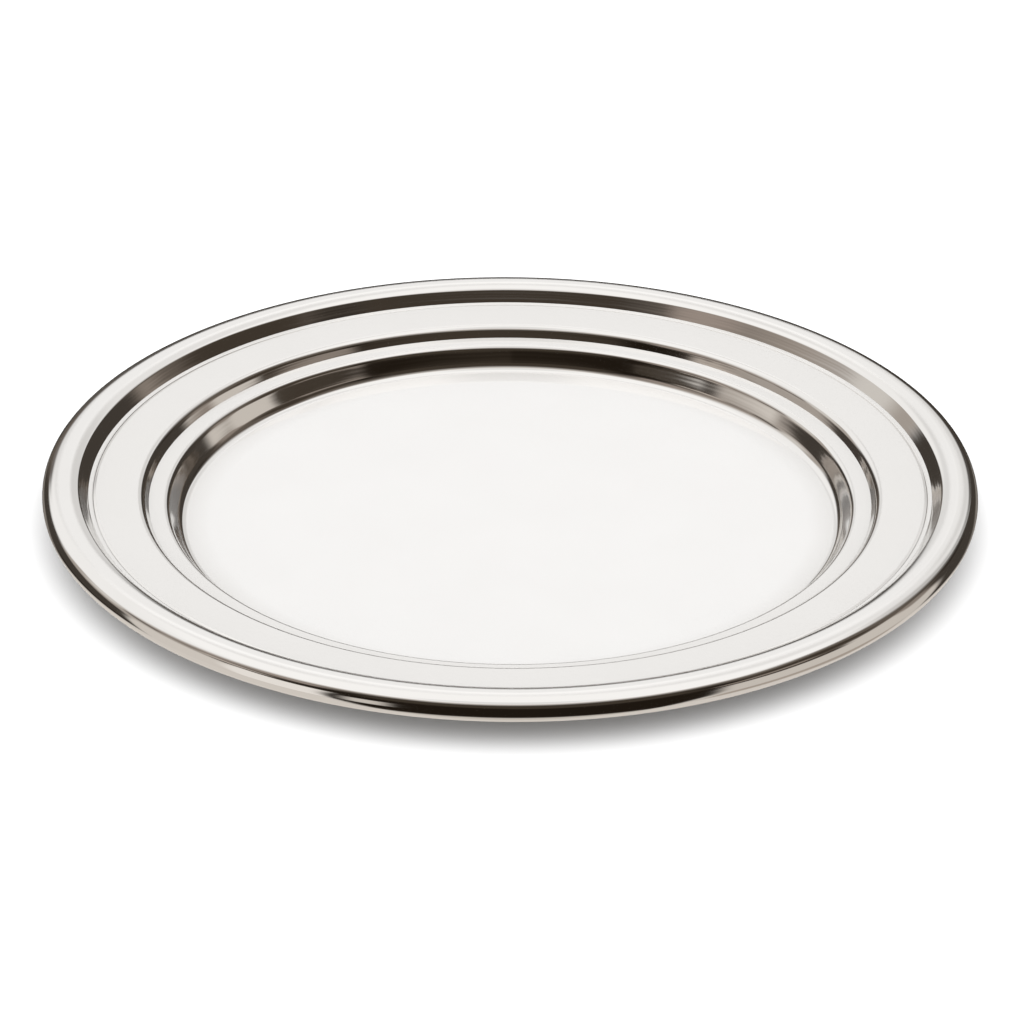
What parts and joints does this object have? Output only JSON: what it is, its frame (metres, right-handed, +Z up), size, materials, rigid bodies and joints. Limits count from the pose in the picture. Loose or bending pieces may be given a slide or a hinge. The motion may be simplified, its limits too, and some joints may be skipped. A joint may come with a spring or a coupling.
{
  "type": "serving tray",
  "caption": "Round polished stainless steel serving tray with a flat well, stepped pressed border and a rounded wired rim, for carrying and serving food and drinks.",
  "frame": {"origin": "centre of the tray's base, on the surface that it stands on", "axes": "+Z up along the tray's axis, +X to the right and +Y away from the viewer in the picture"},
  "size_m": [0.35, 0.35, 0.0184],
  "materials": {
    "polished_sheet": "polished",
    "drawn_wire": "satin"
  },
  "bodies": {
    "root": {"tray_pan": "polished_sheet", "rim_wire": "drawn_wire"}
  },
  "joints": []
}
